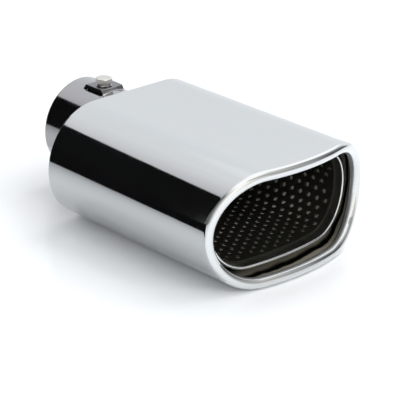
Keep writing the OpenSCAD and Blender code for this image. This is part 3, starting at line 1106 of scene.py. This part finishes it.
def glow(n, colour):
    """A glowing surface of the colour: its node."""
    return n.add("ShaderNodeEmission", {"Color": (*colour, 1), "Strength": 1.0})


def not_from_table(n, surface):
    """The surface as it is for the steel's reflections, and clear to rays from the table."""
    here = n.add("ShaderNodeNewGeometry").outputs
    height, climb = n.parts(here["Position"])[2], n.parts(here["Incoming"])[2]
    travelled = n.add("ShaderNodeLightPath").outputs["Ray Length"]
    start = n.math("ADD", height, n.math("MULTIPLY", climb, travelled))
    low = n.math("LESS_THAN", start, FLOOR_Z + 1.0 * MM)
    return n.choose(low, surface, clear_surface(n))


def card_material(name):
    """A dark glowing material for a card, its nodes and its colour's socket."""
    material, n = blank_material(name)
    light = glow(n, DARK)
    n.add("ShaderNodeOutputMaterial", {"Surface": not_from_table(n, light.outputs[0])})
    return material, n, light.inputs["Color"]


def stage_piece(name, points, faces, material, reflected_only=True):
    mesh = bpy.data.meshes.new(name)
    mesh.from_pydata([tuple(p) for p in points], [], faces)
    mesh.materials.append(material)
    piece = placed(name, mesh)
    if reflected_only:
        piece.visible_camera = piece.visible_diffuse = piece.visible_shadow = False
        piece.visible_transmission = piece.visible_volume_scatter = False


def wall_card(name, places, material):
    """An upright card that only reflections see, at (azimuth, low, high) from the origin."""
    wall = []
    for azimuth, low, high in places:
        t = radians(azimuth)
        wall += [(CARD_REACH * cos(t), CARD_REACH * sin(t), CARD_REACH * tan(radians(e)))
                 for e in (low, high)]
    quads = [(2 * i, 2 * i + 2, 2 * i + 3, 2 * i + 1) for i in range(len(wall) // 2 - 1)]
    stage_piece(name, wall, quads, material)


def build_cards():
    """The black wall to the left and the soft stripe behind the tip."""
    wall_card("card_left", CARD_LEFT, card_material("Dark card")[0])
    grey, n, tone = card_material("Grey card")
    stops = [(azimuth, (t,) * 3) for azimuth, t in CARD_TONES]
    n.feed(tone, n.by_azimuth(n.parts(n.place()), stops))
    wall_card("card_back", CARD_BACK, grey)


def build_floor_shade():
    """Darkens the floor in reflections beside the tip: black beyond a line, soft shade up to it."""
    (ax, ay), (bx, by) = SHADE_LINE
    shade, n = blank_material("Floor shade")
    place = n.parts(n.place())
    slope = (by - ay) / (bx - ax)
    line_y = n.math("ADD", n.math("MULTIPLY", n.math("SUBTRACT", place[0], ax), slope), ay)
    inside = n.math("SUBTRACT", place[1], line_y)
    soft = n.ramp(n.span(inside, 0.0, 0.16), [(at, (tone,) * 3) for at, tone in SHADE_STOPS])
    rear = n.span(place[0], 0.12, -0.05, 0.0, 0.12)
    beyond = n.math("LESS_THAN", inside, 0.0)
    factor = n.add("ShaderNodeMix", {0: beyond, 2: n.math("ADD", soft, rear), 3: 1.0},
                   data_type="FLOAT").outputs[0]
    shaded = n.choose(factor, clear_surface(n), glow(n, DARK).outputs[0])
    n.add("ShaderNodeOutputMaterial", {"Surface": not_from_table(n, shaded)})
    far, z = 3.2, FLOOR_Z + 0.0006
    corners = [(-far, 0.0), (-0.15, 0.0), (0.0, -0.045), (0.20, -0.06), (bx, by),
               (bx - 0.47 * far, -far), (-far, -far)]
    stage_piece("card_floor", [(x, y, z) for x, y in corners], [tuple(range(len(corners)))], shade)


def build_surround():
    """White to the camera, even light for matt surfaces, and a studio of soft tones for steel."""
    world = bpy.data.worlds.new("Pale surround")
    bpy.context.scene.world = world
    world.use_nodes = True
    world.node_tree.nodes.clear()
    n = Nodes(world.node_tree)

    def background(colour, strength=1.0):
        return n.add("ShaderNodeBackground", {"Color": colour, "Strength": strength}).outputs[0]

    way = n.parts(n.add("ShaderNodeTexCoord").outputs["Generated"])
    edge = n.by_azimuth(way, [(azimuth, (sin(radians(e)),) * 3) for azimuth, e in SURROUND_EDGE])
    raised = n.math("DIVIDE", n.math("SUBTRACT", way[2], edge), 0.19, clamp=True)
    studio = n.blend(raised, n.by_azimuth(way, SURROUND_LOW), SURROUND_HIGH)
    even = background(EVEN_LIGHT, n.span(way[2], 0.62, 0.80, 0.86, 1.0))
    light = n.add("ShaderNodeLightPath").outputs
    both = n.choose(light["Is Glossy Ray"], even, background(studio))
    seen = n.choose(light["Is Camera Ray"], both, background((1, 1, 1, 1)))
    n.add("ShaderNodeOutputWorld", {"Surface": seen})


def build_table(colour):
    """The white table with its faint gloss."""
    material, n = blank_material("White table")
    paper = n.add("ShaderNodeBsdfPrincipled", {
        "Base Color": (*colour, 1), "Roughness": 0.32, "Specular IOR Level": 0.25,
        "Coat Weight": 0.25, "Coat Roughness": 0.05})
    n.add("ShaderNodeOutputMaterial", {"Surface": paper.outputs[0]})
    s = TABLE_HALF
    corners = [(x, y, FLOOR_Z) for x, y in ((-s, -s), (s, -s), (s, s), (-s, s))]
    stage_piece("table", corners, [(0, 1, 2, 3)], material, reflected_only=False)


def build_lamps():
    """The lamps over and in front of the tip, and a small one for the core alone."""
    scene = bpy.context.scene
    inside = bpy.data.collections.new("Lit inside")
    for name in LIT_INSIDE:
        if name in scene.objects:
            inside.objects.link(scene.objects[name])
    for name, place, size, power, aim_x in LAMPS:
        lamp = bpy.data.lights.new(name, "AREA")
        lamp.energy, lamp.size = power, size
        piece = placed(name, lamp)
        piece.location = place
        aim = Vector((aim_x, 0, 0)) - Vector(place)
        piece.rotation_euler = aim.to_track_quat("-Z", "Y").to_euler()
        piece.visible_glossy = False
        if name == MOUTH_LAMP:
            piece.light_linking.receiver_collection = inside


def build_camera():
    """The camera that was fitted to the photograph's edges."""
    lens = bpy.data.cameras.new("Camera")
    lens.sensor_width, lens.lens = 36.0, CAMERA_LENS
    lens.clip_start, lens.clip_end = 0.05, 50
    camera = placed("Camera", lens)
    a, e, roll = (radians(v) for v in (CAMERA_AZIMUTH, CAMERA_ELEVATION, CAMERA_ROLL))
    back = Vector((sin(a) * cos(e), -cos(a) * cos(e), sin(e)))
    right = Vector((cos(a), sin(a), 0))
    up = back.cross(right)
    right, up = cos(roll) * right + sin(roll) * up, -sin(roll) * right + cos(roll) * up
    turned = Matrix((right, up, back)).transposed().to_4x4()
    camera.matrix_world = Matrix.Translation(CAMERA_PLACE) @ turned
    bpy.context.scene.camera = camera


def build_stage(colours):
    """The white table, the pale surround, the dark cards that the steel mirrors, and the lamps."""
    build_table(colours.table)
    build_cards()
    build_floor_shade()
    build_surround()
    build_lamps()
    build_camera()
    bpy.context.scene.view_settings.view_transform = "Standard"


# ---------------------------------------------------------------- operators

class EXHAUST_OT_outer_sleeve(bpy.types.Operator):
    """Add the oval outer sleeve with its rolled, bowed mouth"""
    bl_idname = "exhaust_tip.outer_sleeve"
    bl_label = "Outer Sleeve"

    def execute(self, context):
        build_outer_sleeve(context.scene.exhaust_tip_sleeve, context.scene.exhaust_tip_liner)
        return {"FINISHED"}


class EXHAUST_OT_inner_sleeve(bpy.types.Operator):
    """Add the recessed inner sleeve with its folded lip"""
    bl_idname = "exhaust_tip.inner_sleeve"
    bl_label = "Inner Sleeve"

    def execute(self, context):
        build_inner_sleeve(context.scene.exhaust_tip_liner, context.scene.exhaust_tip_sleeve)
        return {"FINISHED"}


class EXHAUST_OT_perforated_core(bpy.types.Operator):
    """Add the dark core with its rows of punched holes"""
    bl_idname = "exhaust_tip.perforated_core"
    bl_label = "Perforated Core"

    def execute(self, context):
        build_perforated_core(context.scene.exhaust_tip_core, context.scene.exhaust_tip_liner)
        return {"FINISHED"}


class EXHAUST_OT_rear_cap(bpy.types.Operator):
    """Add the pressed rear cap"""
    bl_idname = "exhaust_tip.rear_cap"
    bl_label = "Rear Cap"

    def execute(self, context):
        build_rear_cap(context.scene.exhaust_tip_sleeve)
        return {"FINISHED"}


class EXHAUST_OT_inlet_neck(bpy.types.Operator):
    """Add the slip-on neck with its pressed bridge and tapped collar"""
    bl_idname = "exhaust_tip.inlet_neck"
    bl_label = "Inlet Neck"

    def execute(self, context):
        build_inlet_neck(context.scene.exhaust_tip_neck)
        return {"FINISHED"}


class EXHAUST_OT_clamp_screw(bpy.types.Operator):
    """Add the hexagon-head clamp screw"""
    bl_idname = "exhaust_tip.clamp_screw"
    bl_label = "Clamp Screw"

    def execute(self, context):
        build_clamp_screw(context.scene.exhaust_tip_screw, context.scene.exhaust_tip_neck)
        return {"FINISHED"}


class EXHAUST_OT_nut_plate(bpy.types.Operator):
    """Add the nut plate under the bridge"""
    bl_idname = "exhaust_tip.nut_plate"
    bl_label = "Nut Plate"

    def execute(self, context):
        build_nut_plate(context.scene.exhaust_tip_neck)
        return {"FINISHED"}


class EXHAUST_OT_weld_seams(bpy.types.Operator):
    """Add the weld seams at the cap and the neck"""
    bl_idname = "exhaust_tip.weld_seams"
    bl_label = "Weld Seams"

    def execute(self, context):
        build_weld_seams(context.scene.exhaust_tip_seam, context.scene.exhaust_tip_sleeve)
        return {"FINISHED"}


class EXHAUST_OT_stage(bpy.types.Operator):
    """Add the table, the pale surround, the cards, the lamps and the camera"""
    bl_idname = "exhaust_tip.stage"
    bl_label = "Stage"

    def execute(self, context):
        build_stage(context.scene.exhaust_tip_finishes)
        return {"FINISHED"}


OPERATORS = (EXHAUST_OT_outer_sleeve, EXHAUST_OT_inner_sleeve, EXHAUST_OT_perforated_core,
             EXHAUST_OT_rear_cap, EXHAUST_OT_inlet_neck, EXHAUST_OT_clamp_screw,
             EXHAUST_OT_nut_plate, EXHAUST_OT_weld_seams, EXHAUST_OT_stage)

GROUPS = {
    "exhaust_tip_sleeve": SleeveSizes,
    "exhaust_tip_liner": LinerSizes,
    "exhaust_tip_core": CoreSizes,
    "exhaust_tip_neck": NeckSizes,
    "exhaust_tip_screw": ScrewSizes,
    "exhaust_tip_seam": SeamSizes,
    "exhaust_tip_finishes": TipFinishes,
}


class EXHAUST_PT_panel(bpy.types.Panel):
    """Sizes, finishes and pieces of the exhaust tip"""
    bl_idname = "EXHAUST_PT_panel"
    bl_label = "Exhaust Tip"
    bl_space_type = "VIEW_3D"
    bl_region_type = "UI"
    bl_category = "Exhaust Tip"

    def draw(self, context):
        for key in GROUPS:
            box = self.layout.box()
            settings = getattr(context.scene, key)
            for prop in settings.bl_rna.properties:
                if prop.identifier not in {"rna_type", "name"}:
                    box.prop(settings, prop.identifier)
        for operator in OPERATORS:
            self.layout.operator(operator.bl_idname)


def register():
    for cls in (*GROUPS.values(), *OPERATORS, EXHAUST_PT_panel):
        bpy.utils.register_class(cls)
    for key, cls in GROUPS.items():
        setattr(bpy.types.Scene, key, PointerProperty(type=cls))


def unregister():
    for key in GROUPS:
        delattr(bpy.types.Scene, key)
    for cls in reversed((*GROUPS.values(), *OPERATORS, EXHAUST_PT_panel)):
        bpy.utils.unregister_class(cls)


def main():
    register()
    for operator in OPERATORS:
        group, name = operator.bl_idname.split(".")
        getattr(getattr(bpy.ops, group), name)()


if __name__ == "__main__":
    main()
